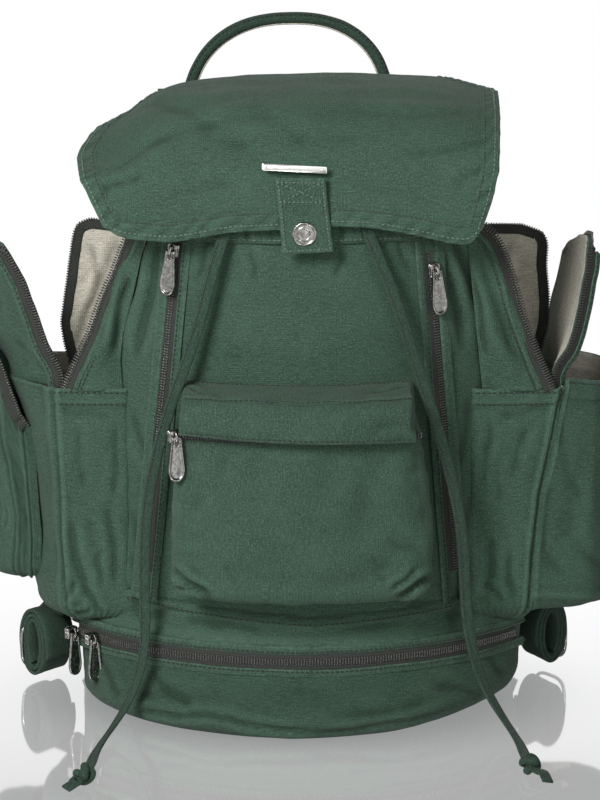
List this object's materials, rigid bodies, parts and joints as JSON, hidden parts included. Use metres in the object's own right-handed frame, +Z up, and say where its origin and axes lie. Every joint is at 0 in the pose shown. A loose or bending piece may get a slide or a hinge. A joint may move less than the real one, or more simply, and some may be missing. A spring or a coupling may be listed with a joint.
{
  "type": "tackle backpack",
  "caption": "Canvas backpack with a snap flap, drawstring throat, zipped front pocket, zipped base compartment, open side pockets, outer pockets and padded shoulder straps.",
  "frame": {"origin": "on the ground under the middle of the pack, with the free drawstrings left out", "axes": "+Z up, the front panel faces -Y, +X to the right of someone facing the front"},
  "size_m": [0.46, 0.3695, 0.4644],
  "materials": {
    "canvas": "slubby plain-weave canvas, washed",
    "lining": "plain lining cloth",
    "strap_cloth": "folded canvas strap, topstitched",
    "zip_tape": "woven zip tape with nylon coil",
    "old_metal": "antique pewter, worn",
    "bright_metal": "silver, brushed",
    "pad_cloth": "padded back cloth"
  },
  "bodies": {
    "pack": {"back_pad": "pad_cloth", "back_panel": "canvas", "base_wall": "canvas", "base_zip_chain": "zip_tape", "bottle_sleeve_right": "canvas", "bottom_panel": "canvas", "compartment_floor": "lining", "drawcord_casing": "canvas", "drawcord_eyelets": "old_metal", "drawstring_left": "strap_cloth", "drawstring_left_knot": "strap_cloth", "drawstring_right": "strap_cloth", "drawstring_right_knot": "strap_cloth", "front_panel": "canvas", "front_pocket_bag": "canvas", "front_pocket_zip_chain": "zip_tape", "front_zip_chains": "zip_tape", "haul_loop_patches": "canvas", "outer_pocket_left": "canvas", "outer_pocket_zip_chain": "zip_tape", "side_panel_left": "canvas", "side_panel_right": "canvas", "side_pocket_left_bag": "canvas", "side_pocket_left_upper": "lining", "side_pocket_right_bag": "canvas", "side_pocket_right_upper": "lining", "side_pocket_zip_tapes": "zip_tape", "snap_stud": "old_metal", "strap_tail_left": "strap_cloth", "strap_tail_right": "strap_cloth", "strap_tail_slides": "old_metal"},
    "flap": {"main_flap": "canvas", "flap_lining": "lining", "label_plate": "bright_metal", "snap_tab_root": "canvas"},
    "tab": {"snap_tab": "canvas", "snap_cap": "old_metal", "snap_socket": "old_metal"},
    "storm_flap": {"pocket_storm_flap": "canvas"},
    "door_left": {"side_pocket_left_door": "canvas", "side_pocket_left_zip_door": "zip_tape"},
    "door_right": {"side_pocket_right_door": "canvas", "side_pocket_right_zip_door": "zip_tape"},
    "haul_loop": {"haul_loop": "strap_cloth"},
    "strap_left": {"shoulder_strap_left": "pad_cloth", "strap_webbing_left": "strap_cloth", "ladder_lock_left": "old_metal"},
    "strap_right": {"shoulder_strap_right": "pad_cloth", "strap_webbing_right": "strap_cloth", "ladder_lock_right": "old_metal"},
    "front_zip_left_slider": {"front_zip_left_slider": "old_metal"},
    "front_zip_left_pull": {"front_zip_left_pull": "old_metal"},
    "front_zip_right_slider": {"front_zip_right_slider": "old_metal"},
    "front_zip_right_pull": {"front_zip_right_pull": "old_metal"},
    "front_pocket_zip_slider": {"front_pocket_zip_slider": "old_metal"},
    "front_pocket_zip_pull": {"front_pocket_zip_pull": "old_metal"},
    "base_zip_front_slider": {"base_zip_front_slider": "old_metal"},
    "base_zip_front_pull": {"base_zip_front_pull": "old_metal"},
    "base_zip_rear_slider": {"base_zip_rear_slider": "old_metal"},
    "base_zip_rear_pull": {"base_zip_rear_pull": "old_metal"}
  },
  "joints": [
    {"name": "flap_hinge", "type": "hinge", "parent": "pack", "child": "flap", "pos_m": [0, 0.087, 0.418], "axis": [-1, 0, 0], "range_deg": [0, 78]},
    {"name": "tab_fold", "type": "hinge", "parent": "flap", "child": "tab", "pos_m": [0, -0.1055, 0.3762], "axis": [-1, 0, 0], "range_deg": [0, 120]},
    {"name": "storm_flap_fold", "type": "hinge", "parent": "pack", "child": "storm_flap", "pos_m": [0, -0.0945, 0.2465], "axis": [-1, 0, 0], "range_deg": [0, 65]},
    {"name": "side_door_left_fold", "type": "hinge", "parent": "pack", "child": "door_left", "pos_m": [-0.167, 0, 0.235], "axis": [0, 1, 0], "range_deg": [0, 24]},
    {"name": "side_door_right_fold", "type": "hinge", "parent": "pack", "child": "door_right", "pos_m": [0.167, 0, 0.235], "axis": [0, -1, 0], "range_deg": [0, 24]},
    {"name": "haul_loop_fold", "type": "hinge", "parent": "pack", "child": "haul_loop", "pos_m": [-0.0085, 0.095, 0.413], "axis": [-1, 0, 0], "range_deg": [0, 60]},
    {"name": "shoulder_strap_left_swing", "type": "hinge", "parent": "pack", "child": "strap_left", "pos_m": [-0.045, 0.093, 0.384], "axis": [-0.2888, -0.011, -0.9573], "range_deg": [-18, 18]},
    {"name": "shoulder_strap_right_swing", "type": "hinge", "parent": "pack", "child": "strap_right", "pos_m": [0.045, 0.093, 0.384], "axis": [0.2888, -0.011, -0.9573], "range_deg": [-18, 18]},
    {"name": "front_zip_left_slide", "type": "slide", "parent": "pack", "child": "front_zip_left_slider", "axis": [-0.1069, 0.0422, -0.9934], "range_m": [0, 0.2225]},
    {"name": "front_zip_left_pull_swing", "type": "hinge", "parent": "front_zip_left_slider", "child": "front_zip_left_pull", "pos_m": [-0.08759, -0.08048, 0.33809], "axis": [-0.8795, 0.4619, 0.1142], "range_deg": [0, 100]},
    {"name": "front_zip_right_slide", "type": "slide", "parent": "pack", "child": "front_zip_right_slider", "axis": [0.0895, 0.0344, -0.9954], "range_m": [0, 0.208]},
    {"name": "front_zip_right_pull_swing", "type": "hinge", "parent": "front_zip_right_slider", "child": "front_zip_right_pull", "pos_m": [0.09301, -0.07813, 0.32409], "axis": [-0.8749, -0.4749, -0.0951], "range_deg": [0, 100]},
    {"name": "front_pocket_zip_run", "type": "hinge", "parent": "pack", "child": "front_pocket_zip_slider", "pos_m": [0, 0.112, 0.219], "axis": [0, 0, 1], "range_deg": [0, 39]},
    {"name": "front_pocket_zip_pull_swing", "type": "hinge", "parent": "front_pocket_zip_slider", "child": "front_pocket_zip_pull", "pos_m": [-0.0832, -0.12295, 0.219], "axis": [-0.9426, 0.3338, 0], "range_deg": [0, 85]},
    {"name": "base_zip_front_run", "type": "hinge", "parent": "pack", "child": "base_zip_front_slider", "pos_m": [0, 0.112, 0.0524], "axis": [0, 0, 1], "range_deg": [0, 83]},
    {"name": "base_zip_front_pull_swing", "type": "hinge", "parent": "base_zip_front_slider", "child": "base_zip_front_pull", "pos_m": [-0.14545, -0.0524, 0.0524], "axis": [-0.749, 0.6626, 0], "range_deg": [0, 85]},
    {"name": "base_zip_rear_run", "type": "hinge", "parent": "pack", "child": "base_zip_rear_slider", "pos_m": [0, 0.112, 0.0524], "axis": [0, 0, 1], "range_deg": [0, 2]},
    {"name": "base_zip_rear_pull_swing", "type": "hinge", "parent": "base_zip_rear_slider", "child": "base_zip_rear_pull", "pos_m": [-0.16053, -0.0377, 0.0524], "axis": [-0.682, 0.7314, 0], "range_deg": [0, 85]}
  ]
}
